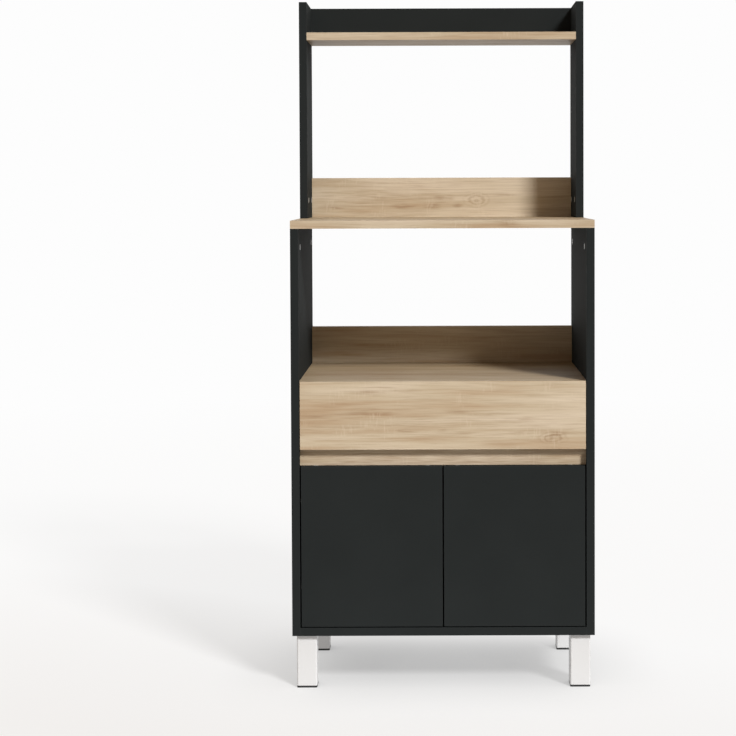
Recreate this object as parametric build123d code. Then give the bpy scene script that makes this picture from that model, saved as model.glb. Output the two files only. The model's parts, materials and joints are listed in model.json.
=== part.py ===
"""Microwave stand with drawer: flat-pack cabinet on four square legs.

Millimetres. X runs to the right, Y to the rear, Z up. The origin is on the floor under the
middle of the worktop. A dark carcass stands on four legs and holds two inset doors, a drawer
on roller runners and an open microwave niche. A shallow tower with one shelf stands on the
rear of the worktop.
"""
import math
import os

from build123d import *

# ---------------------------------------------------------------- driving sizes
WIDTH = 600.0                 # over the side panels and the worktop
WORKTOP_DEPTH = 400.0
REAR_OVERHANG = 20.0          # worktop past the rear edges of the side panels
BOARD = 16.0                  # melamine board
BACK_BOARD = 3.0              # hardboard back and drawer bottom
LEG_HEIGHT = 106.0            # floor to the underside of the carcass, pad included
SIDE_HEIGHT = 808.0
NICHE_HEIGHT = 302.0          # microwave shelf to the underside of the worktop
TOWER_HEIGHT = 456.0          # above the worktop
TOWER_DEPTH = 150.0
TOP_RAIL_HEIGHT = 64.0        # dark rail above the top shelf
UPPER_UPSTAND = 86.0
LOWER_UPSTAND = 79.0

# drawer front, grip and doors
DRAWER_FRONT_HEIGHT = 135.0
DRAWER_SIDE_GAP = 1.5         # drawer front to each side panel
FINGER_GAP = 34.0             # drawer front to the top of the doors
GRIP_RAIL_LIFT = 0.5          # top of the doors to the lower edge of the grip rail
GRIP_RAIL_DROP = 1.0          # drawer front's lower edge down to the top of the grip rail
FRONT_SHADOW_GAP = 2.0        # back of the drawer front to the boards behind it
DOOR_BOTTOM_GAP = 2.5
DOOR_MIDDLE_GAP = 3.0

# legs
LEG_SIZE = 40.0
LEG_WALL = 1.5
LEG_CORNER = 3.0
LEG_TOP_PLATE = 3.0
LEG_PAD = 4.0
PAD_PLUG_HEIGHT = 12.0
PAD_PLUG_WALL = 2.5
FRONT_LEG_SIDE_INSET = 8.0
FRONT_LEG_INSET = 10.0
REAR_LEG_SIDE_INSET = 16.0
REAR_LEG_INSET = 60.0         # from the rear edges of the side panels
LEG_BOLT_RADIUS = 4.0
LEG_BOLT_HEAD = 13.0          # across flats
LEG_BOLT_HEAD_HEIGHT = 5.3
INSERT_RADIUS = 6.0
INSERT_CORE = 3.0             # board left above the threaded insert
BOLT_TIP_GAP = 1.0

# board joints
CAM_RADIUS = 6.0
CAM_FLOOR = 4.0               # board left under the cam
CAM_SETBACK = 38.0            # joint to the cam's centre
CAM_BOLT_RADIUS = 2.5
BOLT_FLOOR = 5.0              # board left past the threaded end of a cam bolt
RECESS_LENGTH = 7.5
RECESS_WIDTH = 1.4
RECESS_DEPTH = 1.8
DOWEL_RADIUS = 4.0
DOWEL_IN_EDGE = 20.0
DOWEL_FLOOR = 6.0             # board left past a dowel
FRONT_CAM_INSET = 50.0        # front edge of a board to its first cam
REAR_CAM_INSET = 32.0         # rear edge of a board to its last cam
DOWEL_STEP = 36.0             # cam to the dowel beside it
TOWER_CAM_INSET = 38.0
NARROW_CAM_SHARE = 0.32       # place of the cam on a narrow board's end
NARROW_DOWEL_SHARE = 0.74

# drawer box
DRAWER_BOARD = 12.0
DRAWER_LENGTH = 350.0
DRAWER_SIDE_HEIGHT = 82.0
DRAWER_GROOVE_RISE = 8.0      # lower edge of the box to its bottom panel
DRAWER_GROOVE_DEPTH = 6.0
DRAWER_GROOVE_PLAY = 0.3
DRAWER_CAM_FLOOR = 3.0
DRAWER_CAM_SETBACK = 24.0
BOX_SCREW_RADIUS = 2.0
BOX_SCREW_LENGTH = 40.0
BOX_SCREW_HEAD = 3.5
BOX_SCREW_HEAD_DEPTH = 3.0

# roller runners
RUNNER_WIDTH = 12.5           # side panel to drawer side
RUNNER_HEIGHT = 22.0
RUNNER_RISE = 2.0             # top of the grip rail to the lower edge of the runner
STEEL = 1.2                   # runner sheet
ROLLER_PLAY = 0.5             # roller to the sheet over and under it
TRACK_WIDTH = 11.0
LIP_WIDTH = 4.2
LIP_PLAY = 0.6                # edge of the cabinet rail's lip to the drawer rail
ROLLER_END_INSET = 12.0
ROLLER_SIDE_PLAY = 0.3
ROLLER_PIN_RADIUS = 2.0
ROLLER_PIN_PLAY = 0.05
PIN_SHOULDER = 3.2
PIN_SHOULDER_WIDTH = 0.7
DRAWER_RAIL_FLANGE = 18.0     # height of the drawer rail on the drawer side
RAIL_TAB_LENGTH = 26.0
RAIL_TAB_RADIUS = 5.5
RUNNER_SCREW_HEAD = 3.5
RUNNER_SCREW_RADIUS = 1.75
RUNNER_SCREW_LENGTH = 11.0
RAIL_SCREW_TIP_GAP = 1.0      # drawer rail screw to the groove above it
RUNNER_SCREW_INSETS = (45.0, 175.0, 310.0)

# concealed cup hinges
CUP_RADIUS = 17.5
CUP_DEPTH = 12.0
CUP_EDGE = 3.0                # door edge to the cup's bore
CUP_WALL = 1.0
CUP_FLOOR = 1.2
FLANGE = 1.2
FLANGE_RADIUS = 19.5
EAR_LENGTH = 56.0
EAR_WIDTH = 14.0
EAR_SHIFT = 7.0
CUP_SCREW_OFFSET = 9.5
CUP_SCREW_SPREAD = 22.5
HINGE_PIN_EDGE = 10.0         # door edge to the hinge pin
HINGE_PIN_DEPTH = 8.5         # rear face of the door to the hinge pin
HINGE_PIN_RADIUS = 1.25
HINGE_PIN_LENGTH = 25.8
HINGE_PIN_PLAY = 0.05
SWING_CLEARANCE = 0.5         # door's front corner to the side panel while it swings
KNUCKLE_RADIUS = 2.0
ARM_SHEET = 1.6
ARM_WIDTH = 12.0
ARM_REACH = 16.0              # hinge pin to the arm's crank inside the cup
ARM_CRANK = 18.0              # hinge pin to the arm's return behind the door
ARM_BEND = 2.0
ARM_END = 66.0                # hinge pin to the arm's rear end
CHANNEL_START = 23.0
CHANNEL_WIDTH = 17.0
CHANNEL_HEIGHT = 5.0
PLATE_BLOCK_WIDTH = 12.0
PLATE_BLOCK_HEIGHT = 8.0
PLATE_BLOCK_START = 26.0
PLATE_WING_THICK = 2.0
PLATE_WING_LENGTH = 48.0
PLATE_WING_WIDTH = 16.0
PLATE_SCREW_SPREAD = 16.0
HINGE_SCREW_RADIUS = 1.75
HINGE_SCREW_LENGTH = 11.0
HINGE_SCREW_HEAD = 3.3
HINGE_SCREW_HEAD_HEIGHT = 1.6
HINGE_END_INSET = 74.0        # end of the door to the hinge's centre

# small trim
BUMPER_WIDTH = 8.0
BUMPER_HEIGHT = 9.0
BUMPER_LENGTH = 14.0
BUMPER_PLAY = 0.3             # rear face of a closed door to its bumpers
BUMPER_INSET = 28.0           # door edge to the middle of a bumper
BACK_EDGE_INSET = 2.0
NAIL_RADIUS = 0.8
NAIL_LENGTH = 16.0
NAIL_HEAD = 1.9
NAIL_HEAD_HEIGHT = 0.8
NAILS_PER_SIDE = 5

# ---------------------------------------------------------------- levels and planes
half_width = WIDTH / 2
inner_half = half_width - BOARD
front = -WORKTOP_DEPTH / 2
rear = WORKTOP_DEPTH / 2
carcass_rear = rear - REAR_OVERHANG
front_back = front + BOARD                    # rear faces of drawer front and doors
inner_front = front_back + FRONT_SHADOW_GAP   # front faces of the boards behind them

base_top = LEG_HEIGHT + BOARD
worktop_bottom = LEG_HEIGHT + SIDE_HEIGHT
worktop_top = worktop_bottom + BOARD
shelf_top = worktop_bottom - NICHE_HEIGHT
shelf_bottom = shelf_top - BOARD
drawer_front_bottom = shelf_top - DRAWER_FRONT_HEIGHT
door_top = drawer_front_bottom - FINGER_GAP
door_bottom = base_top + DOOR_BOTTOM_GAP
grip_top = drawer_front_bottom - GRIP_RAIL_DROP
grip_bottom = door_top + GRIP_RAIL_LIFT
tower_front = rear - TOWER_DEPTH
tower_top = worktop_top + TOWER_HEIGHT
top_shelf_top = tower_top - TOP_RAIL_HEIGHT
top_shelf_bottom = top_shelf_top - BOARD

hinge_pin_y = front_back - HINGE_PIN_DEPTH
front_corner_reach = math.hypot(HINGE_PIN_EDGE, BOARD - HINGE_PIN_DEPTH)
door_side_gap = front_corner_reach - HINGE_PIN_EDGE + SWING_CLEARANCE
door_edge = inner_half - door_side_gap        # half the width over both doors

runner_bottom = grip_top + RUNNER_RISE
runner_top = runner_bottom + RUNNER_HEIGHT
roller_radius = (RUNNER_HEIGHT - 2 * STEEL) / 2 - ROLLER_PLAY
roller_level = runner_bottom + RUNNER_HEIGHT / 2
box_half = inner_half - RUNNER_WIDTH          # outer half width of the drawer box
box_front = front_back
box_rear = box_front + DRAWER_LENGTH
box_bottom = runner_top
box_top = box_bottom + DRAWER_SIDE_HEIGHT
groove_bottom = box_bottom + DRAWER_GROOVE_RISE
groove_top = groove_bottom + BACK_BOARD
cabinet_rail_front = inner_front + FRONT_SHADOW_GAP
cabinet_rail_rear = cabinet_rail_front + DRAWER_LENGTH

SIDES = (("left", -1), ("right", 1))

# ---------------------------------------------------------------- helpers
nodes = {}
bores = {}
cam_locks = []
cam_bolts = []
dowels = []


def slab(x_from, x_to, y_from, y_to, z_from, z_to):
    """Box between two corners, given in any order along X."""
    x_low, x_high = sorted((x_from, x_to))
    block = Box(x_high - x_low, y_to - y_from, z_to - z_from, align=(Align.MIN,) * 3)
    return Pos(x_low, y_from, z_from) * block


def rod(start, direction, radius, length):
    """Round bar from a point along a direction."""
    bar = Cylinder(radius, length, align=(Align.CENTER, Align.CENTER, Align.MIN))
    return Plane(origin=start, z_dir=direction) * bar


def add(name, shape):
    """Keep a piece under its node name."""
    nodes[name] = shape
    bores.setdefault(name, [])


def bore(name, *tools):
    """Holes and pockets that a piece gets when all joints are known."""
    bores[name].extend(tools)


def mirrored(shape):
    """The same piece on the right-hand side."""
    return mirror(shape, about=Plane.YZ)


def cross_recess(centre, face, across):
    """Screwdriver cross sunk into a fastener's face."""
    turned = face.cross(across)
    plane = Plane(origin=centre - face * RECESS_DEPTH, x_dir=across, z_dir=face)
    bar = Box(RECESS_LENGTH, RECESS_WIDTH, RECESS_DEPTH, align=(Align.CENTER, Align.CENTER, Align.MIN))
    other = Plane(origin=centre - face * RECESS_DEPTH, x_dir=turned, z_dir=face)
    return [plane * bar, other * bar]


def cam_pair(holder, taker, end, out, face, holder_board, setback, cam_floor, grip):
    """Cam lock in one board and its bolt from the other board's face.

    end is the middle of the holder's end, out points into the taker, face is the side of the
    holder on which the cam shows. Returns the cam and the bolt.
    """
    centre = end - out * setback
    mouth = centre + face * (holder_board / 2)
    cam = rod(mouth, face * -1, CAM_RADIUS, holder_board - cam_floor)
    bolt = rod(end + out * grip, out * -1, CAM_BOLT_RADIUS, grip + setback)
    bore(holder, cam, bolt)
    bore(taker, bolt)
    return cam - [bolt] - cross_recess(mouth, face, out), bolt


def cam_joint(holder, taker, end, out, face):
    """Cam joint between two carcass boards."""
    cam, bolt = cam_pair(holder, taker, end, out, face, BOARD, CAM_SETBACK, CAM_FLOOR,
                         BOARD - BOLT_FLOOR)
    cam_locks.append(cam)
    cam_bolts.append(bolt)


def dowel_joint(holder, taker, end, out):
    """Wooden dowel between the end of one board and the face of another."""
    grip = BOARD - DOWEL_FLOOR
    dowel = rod(end + out * grip, out * -1, DOWEL_RADIUS, grip + DOWEL_IN_EDGE)
    bore(holder, dowel)
    bore(taker, dowel)
    dowels.append(dowel)


def join_shelf(name, taker, y_cams, y_dowels, z_middle, face):
    """Join both ends of a lying board to the boards left and right of it."""
    for side, sign in SIDES:
        out = Vector(sign, 0, 0)
        for y in y_cams:
            cam_joint(name, f"{taker}_{side}", Vector(sign * inner_half, y, z_middle), out, face)
        for y in y_dowels:
            dowel_joint(name, f"{taker}_{side}", Vector(sign * inner_half, y, z_middle), out)


def join_rail(name, taker, y_middle, z_low, z_high, face):
    """Join both ends of a standing rail with one cam and one dowel each."""
    z_cam = z_low + (z_high - z_low) * NARROW_CAM_SHARE
    z_dowel = z_low + (z_high - z_low) * NARROW_DOWEL_SHARE
    for side, sign in SIDES:
        out = Vector(sign, 0, 0)
        cam_joint(name, f"{taker}_{side}", Vector(sign * inner_half, y_middle, z_cam), out, face)
        dowel_joint(name, f"{taker}_{side}", Vector(sign * inner_half, y_middle, z_dowel), out)


# ---------------------------------------------------------------- boards
def make_carcass():
    """Sides, base, microwave shelf, grip rail, lower upstand, worktop and hardboard back."""
    for side, sign in SIDES:
        add(f"side_panel_{side}",
            slab(sign * inner_half, sign * half_width, front, carcass_rear, LEG_HEIGHT, worktop_bottom))
    add("base_panel", slab(-inner_half, inner_half, front, carcass_rear, LEG_HEIGHT, base_top))
    add("microwave_shelf",
        slab(-inner_half, inner_half, inner_front, carcass_rear, shelf_bottom, shelf_top))
    add("grip_rail",
        slab(-inner_half, inner_half, front_back, front_back + BOARD, grip_bottom, grip_top))
    add("lower_upstand",
        slab(-inner_half, inner_half, carcass_rear - BOARD, carcass_rear, shelf_top,
             shelf_top + LOWER_UPSTAND))
    add("worktop", slab(-half_width, half_width, front, rear, worktop_bottom, worktop_top))
    back_half = half_width - BACK_EDGE_INSET
    add("back_panel",
        slab(-back_half, back_half, carcass_rear, carcass_rear + BACK_BOARD,
             LEG_HEIGHT + BACK_EDGE_INSET, shelf_top - BACK_EDGE_INSET))


def make_tower():
    """Uprights, upper upstand, top shelf and the dark rail above it."""
    for side, sign in SIDES:
        add(f"tower_upright_{side}",
            slab(sign * inner_half, sign * half_width, tower_front, rear, worktop_top, tower_top))
    add("upper_upstand",
        slab(-inner_half, inner_half, rear - BOARD, rear, worktop_top, worktop_top + UPPER_UPSTAND))
    add("top_shelf",
        slab(-inner_half, inner_half, tower_front, rear, top_shelf_bottom, top_shelf_top))
    add("top_rail",
        slab(-inner_half, inner_half, rear - BOARD, rear, top_shelf_top, tower_top))


def join_boards():
    """Cam locks, bolts and dowels of the carcass and the tower."""
    up = Vector(0, 0, 1)
    down = Vector(0, 0, -1)
    back = Vector(0, 1, 0)
    first = front + FRONT_CAM_INSET
    last = carcass_rear - REAR_CAM_INSET
    for side, sign in SIDES:
        x = sign * (inner_half + half_width) / 2
        inward = Vector(-sign, 0, 0)
        for y in (first, last):
            cam_joint(f"side_panel_{side}", "worktop", Vector(x, y, worktop_bottom), up, inward)
        dowel_joint(f"side_panel_{side}", "worktop",
                    Vector(x, first + DOWEL_STEP, worktop_bottom), up)
        tower_first = tower_front + TOWER_CAM_INSET
        tower_last = rear - BOARD - CAM_RADIUS - FRONT_SHADOW_GAP
        for y in (tower_first, tower_last):
            cam_joint(f"tower_upright_{side}", "worktop", Vector(x, y, worktop_top), down, inward)
        dowel_joint(f"tower_upright_{side}", "worktop",
                    Vector(x, (tower_first + tower_last) / 2, worktop_top), down)
    shelf_cams = (inner_front + FRONT_CAM_INSET, last - BOARD)
    shelf_dowels = (inner_front + FRONT_CAM_INSET + DOWEL_STEP, last - BOARD - DOWEL_STEP)
    join_shelf("microwave_shelf", "side_panel", shelf_cams, shelf_dowels,
               (shelf_bottom + shelf_top) / 2, down)
    base_cams = (front + FRONT_CAM_INSET, last)
    base_dowels = (front + FRONT_CAM_INSET + DOWEL_STEP, last - DOWEL_STEP)
    join_shelf("base_panel", "side_panel", base_cams, base_dowels,
               (LEG_HEIGHT + base_top) / 2, down)
    top_cams = (tower_front + TOWER_CAM_INSET, rear - BOARD - CAM_RADIUS - TOWER_CAM_INSET / 2)
    join_shelf("top_shelf", "tower_upright", top_cams, (), (top_shelf_bottom + top_shelf_top) / 2, up)
    join_rail("grip_rail", "side_panel", front_back + BOARD / 2, grip_bottom, grip_top, back)
    join_rail("lower_upstand", "side_panel", carcass_rear - BOARD / 2, shelf_top,
              shelf_top + LOWER_UPSTAND, back)
    join_rail("upper_upstand", "tower_upright", rear - BOARD / 2, worktop_top,
              worktop_top + UPPER_UPSTAND, back)
    join_rail("top_rail", "tower_upright", rear - BOARD / 2, top_shelf_top, tower_top, back)


def make_back_nails():
    """Nails that hold the hardboard back to the rear edges of the side panels."""
    nails = []
    z_low = LEG_HEIGHT + BACK_EDGE_INSET + BOARD
    z_high = shelf_top - BACK_EDGE_INSET - BOARD
    face = carcass_rear + BACK_BOARD
    for side, sign in SIDES:
        for index in range(NAILS_PER_SIDE):
            z = z_low + (z_high - z_low) * index / (NAILS_PER_SIDE - 1)
            x = sign * (inner_half + BOARD / 2)
            shank = rod(Vector(x, face, z), (0, -1, 0), NAIL_RADIUS, NAIL_LENGTH)
            head = rod(Vector(x, face, z), (0, 1, 0), NAIL_HEAD, NAIL_HEAD_HEIGHT)
            bore("back_panel", shank)
            bore(f"side_panel_{side}", shank)
            nails.append(shank + head)
    add("back_nails", Compound(nails))


# ---------------------------------------------------------------- legs
def square_tube(x, y, size, corner, z_from, z_to):
    """Upright square bar with rounded corners."""
    outline = Pos(x, y, z_from) * RectangleRounded(size, size, corner)
    return extrude(outline, amount=z_to - z_from, dir=(0, 0, 1))


def make_legs():
    """Four steel legs with plastic pads, bolted into threaded inserts in the base panel."""
    pads = []
    bolts = []
    inserts = []
    plate_bottom = LEG_HEIGHT - LEG_TOP_PLATE
    hole_size = LEG_SIZE - 2 * LEG_WALL
    hole_corner = LEG_CORNER - LEG_WALL
    rows = (("front", FRONT_LEG_SIDE_INSET, front + FRONT_LEG_INSET + LEG_SIZE / 2),
            ("rear", REAR_LEG_SIDE_INSET, carcass_rear - REAR_LEG_INSET - LEG_SIZE / 2))
    for row, side_inset, y in rows:
        for side, sign in SIDES:
            x = sign * (half_width - side_inset - LEG_SIZE / 2)
            insert_height = BOARD - INSERT_CORE
            shank_top = LEG_HEIGHT + insert_height - BOLT_TIP_GAP
            shank = rod(Vector(x, y, plate_bottom), (0, 0, 1), LEG_BOLT_RADIUS,
                        shank_top - plate_bottom)
            tube = square_tube(x, y, LEG_SIZE, LEG_CORNER, LEG_PAD, LEG_HEIGHT)
            hollow = square_tube(x, y, hole_size, hole_corner, LEG_PAD, plate_bottom)
            add(f"leg_{row}_{side}", tube - hollow)
            bore(f"leg_{row}_{side}", shank)
            pad = square_tube(x, y, LEG_SIZE, LEG_CORNER, 0, LEG_PAD)
            plug = square_tube(x, y, hole_size, hole_corner, LEG_PAD, LEG_PAD + PAD_PLUG_HEIGHT)
            well_size = hole_size - 2 * PAD_PLUG_WALL
            well = square_tube(x, y, well_size, hole_corner / 2, LEG_PAD, LEG_PAD + PAD_PLUG_HEIGHT)
            pads.append(pad + plug - well)
            head_outline = RegularPolygon(LEG_BOLT_HEAD / 2, 6, major_radius=False)
            head = extrude(Pos(x, y, plate_bottom - LEG_BOLT_HEAD_HEIGHT) * head_outline,
                           amount=LEG_BOLT_HEAD_HEIGHT, dir=(0, 0, 1))
            bolts.append(shank + head)
            sleeve = rod(Vector(x, y, LEG_HEIGHT), (0, 0, 1), INSERT_RADIUS, insert_height)
            thread = rod(Vector(x, y, LEG_HEIGHT), (0, 0, 1), LEG_BOLT_RADIUS, insert_height)
            bore("base_panel", sleeve)
            inserts.append(sleeve - thread)
    add("leg_pads", Compound(pads))
    add("leg_bolts", Compound(bolts))
    add("leg_inserts", Compound(inserts))


# ---------------------------------------------------------------- doors and hinges
def hinge_points():
    """Pin line of the left door and the heights of its hinges."""
    pin_x = -door_edge + HINGE_PIN_EDGE
    heights = (("lower", door_bottom + HINGE_END_INSET), ("upper", door_top - HINGE_END_INSET))
    return pin_x, heights


def hinge_cup(z):
    """Cup with its screwed flange, let into the rear face of the left door."""
    x = -door_edge + CUP_EDGE + CUP_RADIUS
    outer = rod(Vector(x, front_back, z), (0, -1, 0), CUP_RADIUS, CUP_DEPTH)
    inside = rod(Vector(x, front_back + FLANGE, z), (0, -1, 0), CUP_RADIUS - CUP_WALL,
                 CUP_DEPTH - CUP_FLOOR + FLANGE)
    disc = rod(Vector(x, front_back, z), (0, 1, 0), FLANGE_RADIUS, FLANGE)
    ear_outline = RectangleRounded(EAR_WIDTH, EAR_LENGTH, EAR_WIDTH / 3)
    ear_plane = Plane(origin=(x + EAR_SHIFT, front_back + FLANGE, z), x_dir=(1, 0, 0), z_dir=(0, -1, 0))
    ears = extrude(ear_plane * ear_outline, amount=FLANGE)
    return outer, outer + disc + ears - inside


def hinge_screw(start, inward):
    """Small pan-head screw whose head sits on the surface at start."""
    shank = rod(start, inward, HINGE_SCREW_RADIUS, HINGE_SCREW_LENGTH)
    head = rod(start, inward * -1, HINGE_SCREW_HEAD, HINGE_SCREW_HEAD_HEIGHT)
    return shank, shank + head


def hinge_arm(pin_x, z):
    """Cranked steel arm: knuckle on the pin, out of the cup, back over the mounting plate."""
    channel_top = -inner_half + PLATE_BLOCK_HEIGHT + ARM_SHEET
    tail_x = channel_top - ARM_SHEET / 2
    path = FilletPolyline((pin_x, hinge_pin_y), (pin_x + ARM_REACH, hinge_pin_y),
                          (pin_x + ARM_REACH, hinge_pin_y + ARM_CRANK),
                          (tail_x, hinge_pin_y + ARM_CRANK),
                          (tail_x, hinge_pin_y + ARM_END), radius=ARM_BEND)
    strip = trace(path, line_width=ARM_SHEET)
    knuckle = Pos(pin_x, hinge_pin_y) * Circle(KNUCKLE_RADIUS)
    eye = Pos(pin_x, hinge_pin_y) * Circle(HINGE_PIN_RADIUS + HINGE_PIN_PLAY)
    outline = strip + knuckle - eye
    arm = extrude(Pos(0, 0, z - ARM_WIDTH / 2) * outline, amount=ARM_WIDTH, dir=(0, 0, 1))
    y_from = hinge_pin_y + CHANNEL_START
    y_to = hinge_pin_y + ARM_END
    cover = slab(channel_top - CHANNEL_HEIGHT, channel_top, y_from, y_to,
                 z - CHANNEL_WIDTH / 2, z + CHANNEL_WIDTH / 2)
    groove = slab(channel_top - CHANNEL_HEIGHT, channel_top - ARM_SHEET, y_from, y_to,
                  z - CHANNEL_WIDTH / 2 + ARM_SHEET, z + CHANNEL_WIDTH / 2 - ARM_SHEET)
    return arm + (cover - groove)


def hinge_plate(z):
    """Mounting plate on the left side panel: winged base and the block the arm clamps on."""
    y_from = hinge_pin_y + PLATE_BLOCK_START
    y_to = hinge_pin_y + ARM_END
    block = slab(-inner_half, -inner_half + PLATE_BLOCK_HEIGHT, y_from, y_to,
                 z - PLATE_BLOCK_WIDTH / 2, z + PLATE_BLOCK_WIDTH / 2)
    y_middle = (y_from + y_to) / 2
    wing_plane = Plane(origin=(-inner_half, y_middle, z), x_dir=(0, 1, 0), z_dir=(1, 0, 0))
    wing_outline = RectangleRounded(PLATE_WING_WIDTH, PLATE_WING_LENGTH, PLATE_WING_WIDTH / 3)
    wings = extrude(wing_plane * wing_outline, amount=PLATE_WING_THICK)
    return block + wings, y_middle


def make_left_door():
    """Door, hinges and screws on the left; returned by name for both sides."""
    pieces = {}
    door = slab(-door_edge, -DOOR_MIDDLE_GAP / 2, front, front_back, door_bottom, door_top)
    pin_x, heights = hinge_points()
    cup_centre = -door_edge + CUP_EDGE + CUP_RADIUS
    cup_screws = []
    plate_screws = []
    pins = []
    plates = []
    door_bores = []
    side_bores = []
    for level, z in heights:
        bore_shape, cup = hinge_cup(z)
        door_bores.append(bore_shape)
        pin = rod(Vector(pin_x, hinge_pin_y, z - HINGE_PIN_LENGTH / 2), (0, 0, 1),
                  HINGE_PIN_RADIUS, HINGE_PIN_LENGTH)
        pins.append(pin)
        cup_tools = [pin]
        for sign in (-1, 1):
            start = Vector(cup_centre + CUP_SCREW_OFFSET, front_back + FLANGE,
                           z + sign * CUP_SCREW_SPREAD)
            shank, screw = hinge_screw(start, Vector(0, -1, 0))
            cup_screws.append(screw)
            cup_tools.append(shank)
            door_bores.append(shank)
        pieces[f"hinge_cup_{{}}_{level}"] = cup - cup_tools
        pieces[f"hinge_arm_{{}}_{level}"] = hinge_arm(pin_x, z)
        plate, y_middle = hinge_plate(z)
        plate_tools = []
        for sign in (-1, 1):
            start = Vector(-inner_half + PLATE_WING_THICK, y_middle, z + sign * PLATE_SCREW_SPREAD)
            shank, screw = hinge_screw(start, Vector(-1, 0, 0))
            plate_screws.append(screw)
            plate_tools.append(shank)
            side_bores.append(shank)
        plates.append(plate - plate_tools)
    pieces["door_{}"] = door - door_bores
    pieces["hinge_pins_{}"] = Compound(pins)
    pieces["hinge_plates_{}"] = Compound(plates)
    pieces["hinge_cup_screws_{}"] = Compound(cup_screws)
    return pieces, plate_screws, side_bores


def make_doors():
    """Left door with its hinges, and the same mirrored on the right."""
    pieces, plate_screws, side_bores = make_left_door()
    for pattern, shape in pieces.items():
        add(pattern.format("left"), shape)
        add(pattern.format("right"), mirrored(shape))
    bore("side_panel_left", *side_bores)
    bore("side_panel_right", *[mirrored(tool) for tool in side_bores])
    add("hinge_plate_screws", Compound(plate_screws + [mirrored(screw) for screw in plate_screws]))
    bumpers = []
    bumper_front = front_back + BUMPER_PLAY
    for x in (DOOR_MIDDLE_GAP / 2 + BUMPER_INSET, door_edge - BUMPER_INSET):
        for side, sign in SIDES:
            bumpers.append(slab(sign * (x - BUMPER_WIDTH / 2), sign * (x + BUMPER_WIDTH / 2),
                                bumper_front, bumper_front + BUMPER_LENGTH,
                                grip_bottom - BUMPER_HEIGHT, grip_bottom))
    add("door_bumpers", Compound(bumpers))


# ---------------------------------------------------------------- drawer
def make_drawer():
    """Drawer front and box: sides, back, and a thin bottom held in grooves."""
    front_half = inner_half - DRAWER_SIDE_GAP
    add("drawer_front",
        slab(-front_half, front_half, front, front_back, drawer_front_bottom, shelf_top))
    inner = box_half - DRAWER_BOARD
    for side, sign in SIDES:
        add(f"drawer_side_{side}",
            slab(sign * inner, sign * box_half, box_front, box_rear, box_bottom, box_top))
    add("drawer_back", slab(-inner, inner, box_rear - DRAWER_BOARD, box_rear, box_bottom, box_top))
    groove_x = inner + DRAWER_GROOVE_DEPTH
    groove_front = box_front - DRAWER_GROOVE_DEPTH
    groove_rear = box_rear - DRAWER_BOARD + DRAWER_GROOVE_DEPTH
    groove = slab(-groove_x, groove_x, groove_front, groove_rear, groove_bottom, groove_top)
    side_groove = slab(-groove_x, groove_x, groove_front, box_rear, groove_bottom, groove_top)
    bore("drawer_front", groove)
    bore("drawer_back", groove)
    for side, sign in SIDES:
        bore(f"drawer_side_{side}", side_groove)
    play = DRAWER_GROOVE_PLAY
    add("drawer_bottom",
        slab(-groove_x + play, groove_x - play, groove_front + play, groove_rear - play,
             groove_bottom, groove_top))
    drawer_cams = []
    drawer_bolts = []
    screws = []
    box_middle = (groove_top + box_top) / 2
    cam_spread = DRAWER_SIDE_HEIGHT / 4
    for side, sign in SIDES:
        x = sign * (box_half - DRAWER_BOARD / 2)
        for rise in (-cam_spread, cam_spread):
            cam, bolt = cam_pair(f"drawer_side_{side}", "drawer_front",
                                 Vector(x, box_front, box_middle + rise), Vector(0, -1, 0),
                                 Vector(-sign, 0, 0), DRAWER_BOARD, DRAWER_CAM_SETBACK,
                                 DRAWER_CAM_FLOOR, BOARD - BOLT_FLOOR)
            drawer_cams.append(cam)
            drawer_bolts.append(bolt)
            start = Vector(sign * box_half, box_rear - DRAWER_BOARD / 2, box_middle + rise)
            inward = Vector(-sign, 0, 0)
            screw = (rod(start, inward, BOX_SCREW_RADIUS, BOX_SCREW_LENGTH)
                     + rod(start, inward, BOX_SCREW_HEAD, BOX_SCREW_HEAD_DEPTH))
            bore(f"drawer_side_{side}", screw)
            bore("drawer_back", screw)
            screws.append(screw)
    add("drawer_cam_locks", Compound(drawer_cams))
    add("drawer_cam_bolts", Compound(drawer_bolts))
    add("drawer_back_screws", Compound(screws))


# ---------------------------------------------------------------- roller runners
def runner_x(inset):
    """X on the left of a point this far in from the side panel's inner face."""
    return -inner_half + inset


def roller(y, inset_from, inset_to):
    """Grooved plastic roller on a sideways pin."""
    width = inset_to - inset_from
    start = Vector(runner_x(inset_from), y, roller_level)
    rim = width / 4
    body = rod(start, (1, 0, 0), roller_radius, width)
    waist = roller_radius - ROLLER_PLAY
    ring = rod(start + Vector(rim, 0, 0), (1, 0, 0), roller_radius, width - 2 * rim)
    core = rod(start + Vector(rim, 0, 0), (1, 0, 0), waist, width - 2 * rim)
    hole = rod(start, (1, 0, 0), ROLLER_PIN_RADIUS + ROLLER_PIN_PLAY, width)
    return body - (ring - core) - hole


def roller_pin(y, inset_root, inset_tip):
    """Riveted pin with a shoulder at its root and a head at its tip."""
    direction = 1 if inset_tip > inset_root else -1
    start = Vector(runner_x(inset_root), y, roller_level)
    length = abs(inset_tip - inset_root)
    pin = rod(start, (direction, 0, 0), ROLLER_PIN_RADIUS, length)
    shoulder = rod(start, (direction, 0, 0), PIN_SHOULDER, PIN_SHOULDER_WIDTH)
    tip = Vector(runner_x(inset_tip), y, roller_level)
    head = rod(tip, (-direction, 0, 0), PIN_SHOULDER, PIN_SHOULDER_WIDTH)
    return pin + shoulder + head


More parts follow.
